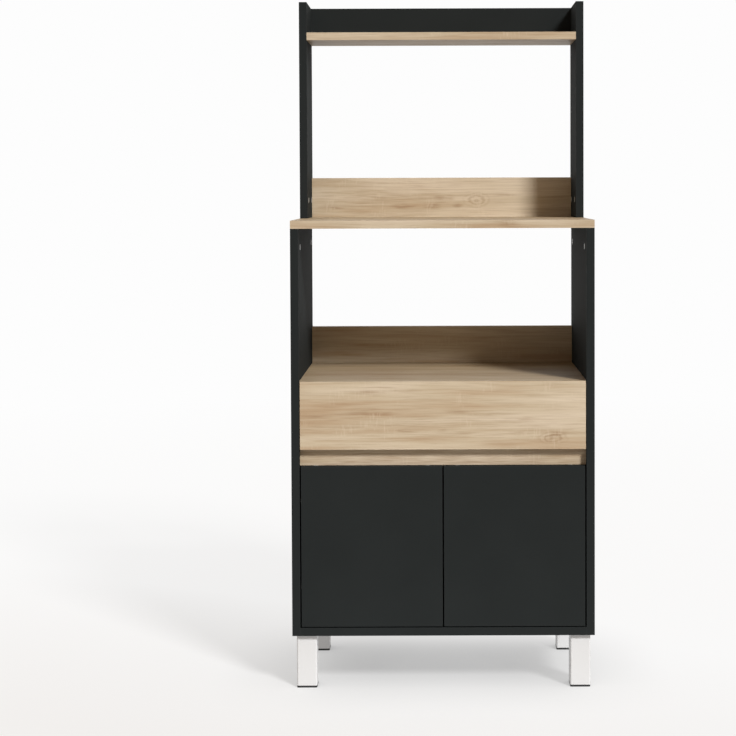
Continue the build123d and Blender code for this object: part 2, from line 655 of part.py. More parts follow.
def make_left_runner():
    """Cabinet rail, drawer rail and both rollers on the left, with their screws."""
    front_roller_y = cabinet_rail_front + ROLLER_END_INSET
    rear_roller_y = box_rear - ROLLER_END_INSET
    lip_from = runner_top - STEEL
    web = slab(runner_x(0), runner_x(STEEL), cabinet_rail_front, cabinet_rail_rear,
               runner_bottom, runner_top)
    track = slab(runner_x(0), runner_x(TRACK_WIDTH), cabinet_rail_front, cabinet_rail_rear,
                 runner_bottom, runner_bottom + STEEL)
    lip = slab(runner_x(0), runner_x(LIP_WIDTH), cabinet_rail_front, cabinet_rail_rear,
               lip_from, runner_top)
    drawer_web = RUNNER_WIDTH - STEEL
    cabinet_pin_tip = drawer_web - ROLLER_SIDE_PLAY
    cabinet_pin = roller_pin(front_roller_y, STEEL, cabinet_pin_tip)
    roller_from = STEEL + PIN_SHOULDER_WIDTH + ROLLER_SIDE_PLAY
    roller_to = cabinet_pin_tip - PIN_SHOULDER_WIDTH - ROLLER_SIDE_PLAY
    cabinet_rail = web + track + lip + cabinet_pin

    plate_from = LIP_WIDTH + LIP_PLAY
    plate = slab(runner_x(plate_from), runner_x(RUNNER_WIDTH + DRAWER_BOARD), box_front, box_rear,
                 lip_from, runner_top)
    flange = slab(runner_x(drawer_web), runner_x(RUNNER_WIDTH), box_front, box_rear,
                  lip_from, runner_top + DRAWER_RAIL_FLANGE)
    tab_bottom = roller_level - RAIL_TAB_RADIUS
    tab = slab(runner_x(drawer_web), runner_x(RUNNER_WIDTH), box_rear - RAIL_TAB_LENGTH, box_rear,
               tab_bottom, lip_from)
    drawer_pin_tip = STEEL + ROLLER_SIDE_PLAY
    drawer_pin = roller_pin(rear_roller_y, drawer_web, drawer_pin_tip)
    drawer_roller_from = drawer_pin_tip + PIN_SHOULDER_WIDTH + ROLLER_SIDE_PLAY
    drawer_roller_to = drawer_web - PIN_SHOULDER_WIDTH - ROLLER_SIDE_PLAY
    drawer_rail = plate + flange + tab + drawer_pin

    rail_tools = []
    side_tools = []
    cabinet_screws = []
    plate_tools = []
    drawer_side_tools = []
    drawer_screws = []
    for inset in RUNNER_SCREW_INSETS:
        y = cabinet_rail_front + inset
        head = rod(Vector(runner_x(0), y, roller_level), (1, 0, 0), RUNNER_SCREW_HEAD, STEEL)
        shank = rod(Vector(runner_x(0), y, roller_level), (-1, 0, 0), RUNNER_SCREW_RADIUS,
                    RUNNER_SCREW_LENGTH)
        rail_tools.append(head)
        side_tools.append(shank)
        cabinet_screws.append(head + shank)
        centre = Vector(runner_x(RUNNER_WIDTH + DRAWER_BOARD / 2), box_front + inset, lip_from)
        low_head = rod(centre, (0, 0, 1), RUNNER_SCREW_HEAD, STEEL)
        low_shank = rod(centre, (0, 0, 1), RUNNER_SCREW_RADIUS,
                        STEEL + DRAWER_GROOVE_RISE - RAIL_SCREW_TIP_GAP)
        plate_tools.append(low_head)
        drawer_side_tools.append(low_shank)
        drawer_screws.append(low_head + low_shank)
    return {
        "cabinet_rail_{}": cabinet_rail - rail_tools,
        "drawer_rail_{}": drawer_rail - plate_tools,
        "cabinet_roller_{}": roller(front_roller_y, roller_from, roller_to),
        "drawer_roller_{}": roller(rear_roller_y, drawer_roller_from, drawer_roller_to),
    }, cabinet_screws, side_tools, drawer_screws, drawer_side_tools


def make_runners():
    """Left runner and the same mirrored on the right."""
    pieces, cabinet_screws, side_tools, drawer_screws, drawer_side_tools = make_left_runner()
    for pattern, shape in pieces.items():
        add(pattern.format("left"), shape)
        add(pattern.format("right"), mirrored(shape))
    bore("side_panel_left", *side_tools)
    bore("side_panel_right", *[mirrored(tool) for tool in side_tools])
    bore("drawer_side_left", *drawer_side_tools)
    bore("drawer_side_right", *[mirrored(tool) for tool in drawer_side_tools])
    add("cabinet_rail_screws", Compound(cabinet_screws + [mirrored(s) for s in cabinet_screws]))
    add("drawer_rail_screws", Compound(drawer_screws + [mirrored(s) for s in drawer_screws]))


# ---------------------------------------------------------------- assembly
def main():
    """Make every piece, cut its holes and write one file for each."""
    make_carcass()
    make_tower()
    make_back_nails()
    make_legs()
    make_doors()
    make_drawer()
    make_runners()
    join_boards()
    add("cam_locks", Compound(cam_locks))
    add("cam_bolts", Compound(cam_bolts))
    add("dowels", Compound(dowels))
    os.makedirs("parts", exist_ok=True)
    for name, shape in nodes.items():
        if bores[name]:
            shape = shape - bores[name]
        export_step(shape, f"parts/{name}.step")


main()
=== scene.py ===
"""Microwave stand with drawer: finishes, soft board edges, studio and camera."""
import json
import math

import bpy
from mathutils import Matrix, Vector

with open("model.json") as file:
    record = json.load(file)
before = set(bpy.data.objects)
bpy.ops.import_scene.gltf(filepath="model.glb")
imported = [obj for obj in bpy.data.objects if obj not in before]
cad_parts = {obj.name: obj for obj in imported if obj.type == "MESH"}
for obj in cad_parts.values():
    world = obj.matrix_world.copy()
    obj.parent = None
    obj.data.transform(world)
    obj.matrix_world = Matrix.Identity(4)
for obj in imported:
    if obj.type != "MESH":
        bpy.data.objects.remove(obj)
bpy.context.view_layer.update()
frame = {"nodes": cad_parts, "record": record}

bl_info = {
    "name": "Microwave stand with drawer",
    "version": (1, 0, 0),
    "blender": (4, 5, 0),
    "location": "3D View > Sidebar > Stand",
    "description": "Dresses a flat-pack microwave stand: oak and anthracite board, steel legs, "
                   "fittings",
    "category": "Object",
}

MM = 0.001
WELD_REACH = 0.002     # mm: loose corners closer than this are one corner
SHARP_ANGLE = 50       # degrees: edges sharper than this are rounded
SMALL_RADIUS = 0.5     # mm: rounding of boards wrapped in foil
EDGE_FULL_COSINE = 0.8      # lean of the rounded normal, as a cosine, at which an edge is fully worn
GLOSS_SWING = 0.08     # how much a small-scale pattern changes the roughness
MELAMINE_IOR = 1.5
SLOT_OF = {row["node"]: row["material_slot"] for row in frame["record"]["subparts"]}


# ---------------------------------------------------------------- small helpers
def linear(hex_colour):
    """sRGB hex to linear RGBA: c / 12.92 below 0.04045, else ((c + 0.055) / 1.055) ** 2.4."""
    parts = [int(hex_colour[i:i + 2], 16) / 255 for i in (1, 3, 5)]
    return tuple(c / 12.92 if c <= 0.04045 else ((c + 0.055) / 1.055) ** 2.4
                 for c in parts) + (1.0,)


def per_mm(*sizes):
    """Scale that makes a pattern's cell these many millimetres along X, Y and Z."""
    return tuple(1 / (size * MM) for size in sizes)


def add(tree, kind, inputs=(), stops=(), **settings):
    """Add a node: its properties, a ramp's stops, and each input as a value, a socket or a node."""
    node = tree.nodes.new("ShaderNode" + kind)
    for key, value in settings.items():
        setattr(node, key, value)
    for number, (position, colour) in enumerate(stops):
        if number >= len(node.color_ramp.elements):
            node.color_ramp.elements.new(position)
        node.color_ramp.elements[number].position = position
        node.color_ramp.elements[number].color = colour
    for key, value in dict(inputs).items():
        if isinstance(value, bpy.types.Node):
            value = next(socket for socket in value.outputs if socket.enabled)
        if isinstance(value, bpy.types.NodeSocket):
            tree.links.new(value, node.inputs[key])
        else:
            node.inputs[key].default_value = value
    return node


def new_material(name):
    """Node material with an output; returns it with its tree, shader and object coordinates."""
    material = bpy.data.materials.new(name)
    material.use_nodes = True
    tree = material.node_tree
    tree.nodes.clear()
    shader = add(tree, "BsdfPrincipled")
    add(tree, "OutputMaterial", {"Surface": shader})
    place = add(tree, "TexCoord").outputs["Object"]
    return material, tree, shader, place


def rubbed_and_highlit_edge(tree, radius_mm):
    """1 on sharp edges, 0 elsewhere: how far the edge-rounded normal leans off the face's own."""
    rounded = add(tree, "Bevel", {"Radius": radius_mm * MM}, samples=4)
    face = add(tree, "NewGeometry").outputs["Normal"]
    same = add(tree, "VectorMath", {0: rounded, 1: face}, operation="DOT_PRODUCT").outputs["Value"]
    return add(tree, "MapRange", {"Value": same, "From Min": 1.0, "From Max": EDGE_FULL_COSINE,
                                  "To Min": 0.0, "To Max": 1.0})


def dress(material, *slots):
    """Give a material to every node of these record slots."""
    for name, obj in frame["nodes"].items():
        if SLOT_OF[name] in slots:
            if not obj.material_slots:
                obj.data.materials.append(material)
            for slot in obj.material_slots:
                slot.material = material


def soften(width_mm, *slots):
    """Weld the loose triangles and round their sharp edges by a real width."""
    for name, obj in frame["nodes"].items():
        if SLOT_OF[name] in slots:
            weld = obj.modifiers.new("weld", "WELD")
            weld.merge_threshold = WELD_REACH * MM
            bevel = obj.modifiers.new("soft edge", "BEVEL")
            bevel.width = width_mm * MM
            bevel.segments = 2
            bevel.limit_method = "ANGLE"
            bevel.angle_limit = math.radians(SHARP_ANGLE)


# ---------------------------------------------------------------- settings
class StandOak(bpy.types.PropertyGroup):
    """Oak-print melamine."""

    light: bpy.props.FloatVectorProperty(
        name="Light wood", description="Pale early wood", subtype="COLOR", size=4,
        min=0, max=1, default=linear("#D9C9B1"))
    middle: bpy.props.FloatVectorProperty(
        name="Middle wood", description="Body colour of the print", subtype="COLOR", size=4,
        min=0, max=1, default=linear("#CBBA9F"))
    dark: bpy.props.FloatVectorProperty(
        name="Dark wood", description="Broad darker streaks", subtype="COLOR", size=4,
        min=0, max=1, default=linear("#BBA284"))
    line: bpy.props.FloatVectorProperty(
        name="Pore lines", description="Fine dark lines and knots", subtype="COLOR", size=4,
        min=0, max=1, default=linear("#8F6D4C"))
    # Painted shade: this colour multiplies the print on lying faces, so that tops and undersides
    # render darker as if in shade.
    lying_shade: bpy.props.FloatVectorProperty(
        name="Lying faces", description="Colour that deepens the print on lying faces",
        subtype="COLOR", size=4, min=0, max=1, default=(0.66, 0.61, 0.53, 1.0))
    edge_radius: bpy.props.FloatProperty(
        name="Edge radius", description="Rounding of the glued edge strip, in millimetres",
        default=0.8, min=0.1, max=2.0)


class StandAnthracite(bpy.types.PropertyGroup):
    """Anthracite melamine."""

    colour: bpy.props.FloatVectorProperty(
        name="Colour", description="Printed paper under the melamine", subtype="COLOR", size=4,
        min=0, max=1, default=linear("#242727"))
    cloud: bpy.props.FloatVectorProperty(
        name="Cloud", description="Paler clouds in the print", subtype="COLOR", size=4,
        min=0, max=1, default=linear("#292C2C"))
    # Paler colour for sharp edges, as abrasion and as a painted highlight along them.
    edge: bpy.props.FloatVectorProperty(
        name="Rubbed edge", description="Colour of the rubbed edges", subtype="COLOR", size=4,
        min=0, max=1, default=linear("#3E4040"))
    roughness: bpy.props.FloatProperty(
        name="Roughness", description="Pearl finish of the press plate", default=0.75, min=0, max=1)


class StandStage(bpy.types.PropertyGroup):
    """Studio and camera."""

    key_strength: bpy.props.FloatProperty(
        name="Key strength", description="Irradiance of the key lamp", default=3.15, min=0)
    key_side: bpy.props.FloatProperty(
        name="Key side slope", description="Sideways run of the light per unit of depth",
        default=0.70)
    key_rise: bpy.props.FloatProperty(
        name="Key rise slope", description="Height of the light per unit of depth", default=0.92)
    key_spread: bpy.props.FloatProperty(
        name="Key spread", description="Angle that the key lamp fills", subtype="ANGLE",
        default=math.radians(12), min=0)
    fill_front: bpy.props.FloatProperty(
        name="Front fill", description="Strength of the surroundings before the stand, as a light",
        default=0.22, min=0)
    fill_back: bpy.props.FloatProperty(
        name="Back fill", description="Strength of the white wall behind the stand, as a light",
        default=0.45, min=0)
    fill_colour: bpy.props.FloatVectorProperty(
        name="Fill colour", description="Tint of the light from the surroundings", subtype="COLOR",
        size=4, min=0, max=1, default=linear("#FFE2C4"))


OPERATORS = []


def operator(cls):
    """Keep an operator class in the order in which the stand is dressed."""
    OPERATORS.append(cls)
    return cls


# ---------------------------------------------------------------- oak boards
FIGURE_DEPTH = 30      # mm: reach of a figure before and behind its middle
GRAIN_WANDER = 12      # mm: span in which the grain strays from a straight line
FIGURE_SHARE = 0.70    # how far the darkest figure goes towards the colour of the lines
PORE_SHARE = 0.20      # and how far a pore line does
KNOT_RINGS = 17.0      # radians of ring pattern from a knot's rim to its middle
KNOT_WOBBLE = 11.0     # radians by which the fibres shift the rings
OAK_SPECULAR = 0.2
OAK_GLOSS = 0.42       # roughness between the pores
PORE_ROUGHNESS = 0.12  # more in a pore
# Darker places, set near the photograph's own: x, y, z of the middle, half length, half height in
# mm, strength. Most are single grain figures of the print. Of the five with a half length of 300 or
# more, four darken the drawer front, the upper upstand and the edges of the top shelf and the
# worktop broadly, each set to match that board's tone; the fifth is painted shade on the grip rail
# recessed between the drawer front and the doors.
FIGURES_AND_SHADE = (
    (-156, -200, 591, 34, 5.5, 0.80), (-85, -200, 592.5, 62, 5, 0.65),
    (-114, -200, 599, 50, 4, 0.40), (-158, -200, 554, 42, 8, 0.55),
    (-250, -200, 544, 40, 4.5, 0.55), (-165, -200, 547, 70, 6, 0.50),
    (-108, -200, 550, 38, 4.5, 0.45), (-72, -200, 513, 30, 5, 0.65),
    (24, -200, 552, 32, 5.5, 0.55), (95, -200, 547.5, 62, 4.5, 0.55),
    (150, -200, 538.5, 38, 4.5, 0.50), (45, -200, 509.5, 22, 4.5, 0.55),
    (0, -200, 514, 14, 4.5, 0.55), (150, -200, 508.5, 36, 4.5, 0.55),
    (226, -200, 509, 64, 4, 0.90), (212, -200, 499, 13, 9, 0.60), (227, -200, 503, 20, 9, 0.80),
    (182, -200, 494, 30, 6, 0.45), (0, -200, 529, 460, 46, 0.20), (-250, -200, 520, 60, 26, 0.18),
    (20, 184, 973, 13, 12, 0.70), (36, 184, 956, 16, 9, 1.00), (-85, 184, 954, 32, 7, 0.80),
    (-20, 184, 954, 24, 7, 0.95), (-3, 184, 970, 18, 13, 0.60), (-238, 184, 952, 52, 6, 0.50),
    (-60, 184, 976, 150, 12, 0.30), (-190, 184, 968, 300, 90, 0.30), (0, 50, 1314, 700, 60, 0.18),
    # Painted shade: the middle entry below, at y -176, darkens the recessed grip rail.
    (0, -200, 922, 700, 24, 0.14), (0, -176, 452, 900, 45, 0.60), (144, 184, 978, 38, 4.5, 0.55),
    (127, -200, 922, 32, 11, 0.60),
)
# Knots with rings about them: x, y, z of the middle, half length, half height in mm.
KNOTS = ((217, -200, 498, 34, 15), (77, 184, 967, 34, 21))


def ellipse(tree, grain, x, y, z, half_length, half_height):
    """1 in the middle of an ellipse on the print, fading to 0 at its rim; all sizes in mm."""
    spot = add(tree, "Mapping", {"Vector": grain, "Location": (x * MM, y * MM, z * MM),
                                 "Scale": (half_length * MM, FIGURE_DEPTH * MM, half_height * MM)},
               vector_type="TEXTURE")
    return add(tree, "TexGradient", {"Vector": spot}, gradient_type="SPHERICAL").outputs["Fac"]


def oak_melamine(settings):
    """Melamine-faced chipboard with a pale rough-sawn oak print, grain along X.

    Broad bands of 52 mm, soft streaks of 11 mm, pore lines drawn 2.6 mm wide to show, the darker
    places and knots of the tables, one of them a painted shade on the grip rail, faint saw marks
    across, and sharp edges paler as abrasion and painted highlight; satin, with the pores in relief.
    Lying faces are darker by painted shade, only because the photograph shows them darker than this
    stage's light makes them: nothing shows that the real board's print is darker there.
    """
    material, tree, shader, place = new_material("oak_print_melamine")
    slow = add(tree, "Mapping", {"Vector": place, "Scale": per_mm(420, 60, 60)})
    wander = add(tree, "TexNoise", {"Vector": slow, "Scale": 1.0, "Detail": 1.0}).outputs["Color"]
    signed = add(tree, "VectorMath", {0: wander, 1: (0.5, 0.5, 0.5)}, operation="SUBTRACT")
    grain = add(tree, "VectorMath", {0: signed, 1: (0, GRAIN_WANDER * MM, GRAIN_WANDER * MM),
                                      2: place}, operation="MULTIPLY_ADD").outputs["Vector"]
    wide = add(tree, "Mapping", {"Vector": grain, "Scale": per_mm(420, 52, 52)})
    band = add(tree, "TexNoise", {"Vector": wide, "Scale": 1.0, "Detail": 2.0})
    soft = add(tree, "Mapping", {"Vector": grain, "Scale": per_mm(270, 11, 11)})
    streak = add(tree, "TexNoise", {"Vector": soft, "Scale": 1.0, "Detail": 4.0, "Roughness": 0.6})
    tone = add(tree, "Mix", {0: 0.38, 2: band, 3: streak})
    body = add(tree, "ValToRGB", {"Fac": tone}, stops=(
        (0.38, settings.dark), (0.50, settings.middle), (0.61, settings.light)))
    fine = add(tree, "Mapping", {"Vector": grain, "Scale": per_mm(80, 2.6, 2.6)})
    line = add(tree, "TexNoise", {"Vector": fine, "Scale": 1.0, "Detail": 3.0, "Roughness": 0.6})
    pore = add(tree, "MapRange", {"Value": line, "From Min": 0.52,
                                  "From Max": 0.36}).outputs["Result"]
    # Sum of the darker places; the grip rail's entry among them is painted shade.
    figure_and_shade = 0.0
    for *place_and_size, strength in FIGURES_AND_SHADE:
        near = ellipse(tree, grain, *place_and_size)
        figure_and_shade = add(tree, "Math", {0: near, 1: strength, 2: figure_and_shade}, operation="MULTIPLY_ADD")
    short = add(tree, "Mapping", {"Vector": grain, "Scale": per_mm(40, 3.6, 3.6)})
    stroke = add(tree, "TexNoise", {"Vector": short, "Scale": 1.0, "Detail": 2.0})
    weave = add(tree, "Mapping", {"Vector": place, "Scale": per_mm(26, 9, 9)})
    fibre = add(tree, "TexNoise", {"Vector": weave, "Scale": 1.0, "Detail": 3.0})
    torn = add(tree, "MapRange", {"Value": stroke, "From Min": 0.62, "From Max": 0.40,
                                  "To Min": 0.25, "To Max": 1.0})
    drawn = add(tree, "Math", {0: figure_and_shade, 1: torn}, operation="MULTIPLY", use_clamp=True)
    for place_and_size in KNOTS:
        near = ellipse(tree, grain, *place_and_size)
        bent = add(tree, "Math", {0: fibre, 1: KNOT_WOBBLE}, operation="MULTIPLY")
        turn = add(tree, "Math", {0: near, 1: KNOT_RINGS, 2: bent}, operation="MULTIPLY_ADD")
        ring = add(tree, "MapRange", {"Value": add(tree, "Math", {0: turn}, operation="SINE"),
                                      "From Min": -0.6, "From Max": 1.0})
        shown = add(tree, "MapRange", {"Value": near, "From Max": 0.45, "To Max": 0.42})
        drawn = add(tree, "Math", {0: ring, 1: shown, 2: drawn}, operation="MULTIPLY_ADD",
                    use_clamp=True)
    figured_and_shaded = add(tree, "Math", {0: drawn, 1: FIGURE_SHARE}, operation="MULTIPLY")
    lines_and_shade = add(tree, "Math", {0: pore, 1: PORE_SHARE, 2: figured_and_shaded}, operation="MULTIPLY_ADD",
                     use_clamp=True)
    print_and_shade = add(tree, "Mix", {0: lines_and_shade, 6: body.outputs["Color"], 7: settings.line},
                  data_type="RGBA")
    across = add(tree, "Mapping", {"Vector": place, "Scale": per_mm(3.4, 16, 16)})
    saw = add(tree, "TexNoise", {"Vector": across, "Scale": 1.0, "Detail": 1.0})
    area = add(tree, "Mapping", {"Vector": place, "Scale": per_mm(52, 30, 30)})
    patch = add(tree, "TexNoise", {"Vector": area, "Scale": 1.0, "Detail": 0.0})
    stripe = add(tree, "MapRange", {"Value": saw, "From Min": 0.52, "From Max": 0.70,
                                    "To Max": 0.28})
    rough = add(tree, "MapRange", {"Value": patch, "From Min": 0.54, "From Max": 0.66})
    saw_mark = add(tree, "Math", {0: stripe, 1: rough}, operation="MULTIPLY")
    sawn = add(tree, "Mix", {0: saw_mark, 6: print_and_shade.outputs[2], 7: settings.light},
               data_type="RGBA")
    # Painted highlight with abrasion: sharp edges are mixed towards the light wood colour.
    wear_and_highlight = 0.35
    rubbed_and_highlit = add(tree, "Math", {0: rubbed_and_highlit_edge(tree, radius_mm=1.5), 1: wear_and_highlight}, operation="MULTIPLY")
    worn_and_highlit = add(tree, "Mix", {0: rubbed_and_highlit, 6: sawn.outputs[2], 7: settings.light}, data_type="RGBA")
    # Painted shade: lying faces, found by their normal, have the print multiplied by a darker
    # colour.
    upright = add(tree, "SeparateXYZ", {"Vector": add(tree, "NewGeometry").outputs["Normal"]})
    slope = add(tree, "Math", {0: upright.outputs["Z"]}, operation="ABSOLUTE")
    lying = add(tree, "MapRange", {"Value": slope, "From Min": 0.6, "From Max": 0.9})
    lying_faces_shaded = add(tree, "Mix", {0: lying, 6: worn_and_highlit.outputs[2], 7: settings.lying_shade}, data_type="RGBA",
                 blend_type="MULTIPLY")
    tree.links.new(lying_faces_shaded.outputs[2], shader.inputs["Base Color"])
    gloss = add(tree, "Math", {0: pore, 1: PORE_ROUGHNESS, 2: OAK_GLOSS},
                operation="MULTIPLY_ADD")
    tree.links.new(gloss.outputs[0], shader.inputs["Roughness"])
    shader.inputs["IOR"].default_value = MELAMINE_IOR
    shader.inputs["Specular IOR Level"].default_value = OAK_SPECULAR
    relief = add(tree, "Bump", {"Height": add(tree, "Math", {0: 1.0, 1: pore}, operation="SUBTRACT"),
                                "Distance": 0.06 * MM})
    tree.links.new(relief.outputs[0], shader.inputs["Normal"])
    return material


@operator
class STAND_OT_oak_boards(bpy.types.Operator):
    """Oak-print boards: worktop, shelves, upstands, grip rail and drawer front"""

    bl_idname = "stand.oak_boards"
    bl_label = "Oak boards"

    def execute(self, context):
        settings = context.scene.stand_oak
        dress(oak_melamine(settings), "oak_decor")
        soften(settings.edge_radius, "oak_decor")
        return {"FINISHED"}


# ---------------------------------------------------------------- anthracite boards
PEARL_SWING = 0.10     # how much the dimples change the roughness
PEARL_SPECULAR = 0.045


def anthracite_melamine(settings):
    """Melamine-faced chipboard pressed against a pearl plate.

    Matt dark grey with clouds of a hand's breadth, dimples of 1.6 mm that break the gloss, and sharp
    edges a little paler, as abrasion and painted highlight.
    """
    material, tree, shader, place = new_material("anthracite_melamine")
    hand = add(tree, "Mapping", {"Vector": place, "Scale": per_mm(110, 110, 110)})
    cloud = add(tree, "TexNoise", {"Vector": hand, "Scale": 1.0, "Detail": 3.0})
    paper = add(tree, "Mix", {0: cloud, 6: settings.colour, 7: settings.cloud}, data_type="RGBA")
    # Painted highlight with abrasion: sharp edges are mixed towards the paler edge colour.
    wear_and_highlight = 0.5
    rubbed_and_highlit = add(tree, "Math", {0: rubbed_and_highlit_edge(tree, radius_mm=1.2), 1: wear_and_highlight}, operation="MULTIPLY")
    worn_and_highlit = add(tree, "Mix", {0: rubbed_and_highlit, 6: paper.outputs[2], 7: settings.edge}, data_type="RGBA")
    tree.links.new(worn_and_highlit.outputs[2], shader.inputs["Base Color"])
    dimples = add(tree, "Mapping", {"Vector": place, "Scale": per_mm(1.6, 1.6, 1.6)})
    pearl = add(tree, "TexNoise", {"Vector": dimples, "Scale": 1.0, "Detail": 2.0})
    gloss = add(tree, "Math", {0: pearl, 1: PEARL_SWING, 2: settings.roughness - PEARL_SWING / 2},
                operation="MULTIPLY_ADD")
    tree.links.new(gloss.outputs[0], shader.inputs["Roughness"])
    shader.inputs["IOR"].default_value = MELAMINE_IOR
    shader.inputs["Specular IOR Level"].default_value = PEARL_SPECULAR
    relief = add(tree, "Bump", {"Height": pearl, "Distance": 0.03 * MM})
    tree.links.new(relief.outputs[0], shader.inputs["Normal"])
    return material


@operator
class STAND_OT_dark_boards(bpy.types.Operator):
    """Anthracite boards: side panels, base, uprights, top rail and doors"""

    bl_idname = "stand.dark_boards"
    bl_label = "Anthracite boards"

    def execute(self, context):
        dress(anthracite_melamine(context.scene.stand_anthracite), "anthracite_decor")
        soften(context.scene.stand_oak.edge_radius, "anthracite_decor")
        return {"FINISHED"}


# ---------------------------------------------------------------- drawer box and backs
def plain_finish(name, cell_mm, hex_dark, hex_light, roughness, relief_mm, metallic=0.0):
    """Material of one colour with a small-scale pattern.

    The pattern of cell_mm carries the colour from dark to light, swings the gloss, stands in
    relief_mm of relief, and gives way to the lighter colour on sharp edges, as abrasion and painted
    highlight.
    """
    # Painted highlight with abrasion: sharp edges push the colour towards the lighter one.
    wear_and_highlight = 0.3
    material, tree, shader, place = new_material(name)
    cells = add(tree, "Mapping", {"Vector": place, "Scale": per_mm(*cell_mm)})
    speck = add(tree, "TexNoise", {"Vector": cells, "Scale": 1.0, "Detail": 3.0, "Roughness": 0.6})
    rubbed_and_highlit = add(tree, "Math", {0: rubbed_and_highlit_edge(tree, radius_mm=0.8), 1: wear_and_highlight, 2: speck},
                 operation="MULTIPLY_ADD", use_clamp=True)
    colour = add(tree, "Mix", {0: rubbed_and_highlit, 6: linear(hex_dark), 7: linear(hex_light)},
                 data_type="RGBA")
    tree.links.new(colour.outputs[2], shader.inputs["Base Color"])
    gloss = add(tree, "Math", {0: speck, 1: GLOSS_SWING, 2: roughness - GLOSS_SWING / 2},
                operation="MULTIPLY_ADD")
    tree.links.new(gloss.outputs[0], shader.inputs["Roughness"])
    shader.inputs["Metallic"].default_value = metallic
    relief = add(tree, "Bump", {"Height": speck, "Distance": relief_mm * MM})
    tree.links.new(relief.outputs[0], shader.inputs["Normal"])
    return material


@operator
class STAND_OT_drawer_box(bpy.types.Operator):
    """Drawer box, hardboard back and drawer bottom, dowels"""

    bl_idname = "stand.drawer_box"
    bl_label = "Drawer box and back"

    def execute(self, context):
        # foil wrapped round chipboard: even grey, slightly leathery
        dress(plain_finish("grey_foil_board", (2.2, 2.2, 2.2), "#8B8B89", "#979795", 0.50, 0.04),
              "grey_decor")
        soften(SMALL_RADIUS, "grey_decor")
        # pressed fibre lacquered grey: mottled, with short fibres in relief
        dress(plain_finish("lacquered_hardboard", (7, 4, 5), "#5C5B58", "#72716D", 0.60, 0.08),
              "hardboard")
        # turned beech: pink-tan with dark flecks 3 mm long
        dress(plain_finish("beech", (3, 0.8, 0.8), "#B98D60", "#D8B184", 0.60, 0.05), "beech")
        return {"FINISHED"}


# ---------------------------------------------------------------- legs
@operator
class STAND_OT_legs(bpy.types.Operator):
    """Square steel legs with black plastic pads"""

    bl_idname = "stand.legs"
    bl_label = "Legs"

    def execute(self, context):
        # powder-coated steel tube: soft gloss over faint orange peel of 2 mm
        dress(plain_finish("white_powder_coat", (2, 2, 2), "#D7D7D7", "#DEDEDE", 0.38, 0.02),
              "white_steel")
        # moulded polyethylene: matt black, finely eroded
        dress(plain_finish("black_polyethylene", (0.9, 0.9, 0.9), "#121212", "#1D1D1D",
                           0.55, 0.02), "black_plastic")
        return {"FINISHED"}


# ---------------------------------------------------------------- fittings
@operator
class STAND_OT_fittings(bpy.types.Operator):
    """Cam locks, bolts, screws, hinges, runners, rollers and bumpers"""

    bl_idname = "stand.fittings"
    bl_label = "Fittings"

    def execute(self, context):
        # die-cast zinc: dull, half hidden by its own grey bloom
        dress(plain_finish("zinc_casting", (3, 3, 3), "#C4C6C7", "#DCDEDF", 0.45, 0.02,
                           metallic=0.5), "zinc")
        # nickel plate: warm bright metal with drawing lines of 0.5 mm along Z
        dress(plain_finish("nickel_plate", (6, 6, 0.5), "#BDB9B2", "#D0CCC5", 0.26, 0.01,
                           metallic=1.0), "nickel")
        # epoxy-coated steel rail: cream, smooth
        dress(plain_finish("cream_epoxy_coat", (1.5, 1.5, 1.5), "#D8D5CA", "#E2DFD5", 0.35, 0.02),
              "coated_steel")
        # acetal rollers: white, waxy
        dress(plain_finish("white_acetal", (1, 1, 1), "#DCDCD8", "#E6E6E2", 0.30, 0.01),
              "roller_plastic")
        # soft vinyl stops: milky, nearly clear
        dress(plain_finish("milky_soft_vinyl", (1.2, 1.2, 1.2), "#C5C8C8", "#D3D6D6", 0.25, 0.02),
              "clear_plastic")
        return {"FINISHED"}


# ---------------------------------------------------------------- stage
CAMERA_PLACE = (-0.01173, -3.51829, 0.99283)   # fitted to the photograph's edges
CAMERA_PITCH = 0.0322                          # radians below the horizon
CAMERA_YAW = -0.0005
CAMERA_ROLL = -0.0034
IMAGE_SIDE = 736
FOCAL_PIXELS = 1686.5
AXIS_PIXEL = (437.2, 242.6)                    # where the lens axis meets the image
SENSOR_MM = 36.0
BACKDROP = linear("#FDFDFD")
WALL_TURN = 0.5                # rearward part of a direction at which it meets the wall in full
WALL_RISE = (0.25, 0.5)        # upward part between which the wall fades out
FLOOR_HALF = 14.0              # metres, as all lengths below
FLOOR_SEEN = linear("#F8F8F8")     # paint for the camera and mirrors
FLOOR_LIGHTS = linear("#C6C6C6")   # paint for the rays that light the stand
CONTACT_REACH = 0.2            # how near things darken the floor's own light
CONTACT_POWER = 0.32           # how strongly they do
TO_REAR_RIGHT = (0.45, 0.9, 0)     # the way in which the shade by the stand grows lighter
SHADE_SPAN = (-0.7, 0.3)       # between these places along it
SHADE_SHARES = (0.56, 0.86)    # the share of own light goes from one to the other
CLEAR_SPAN = (0.8, 4.5)        # and between these distances from the stand on to 1
GLOW_SPAN = (0.3, 0.8)         # for other rays it goes from 1 to 0 between these distances


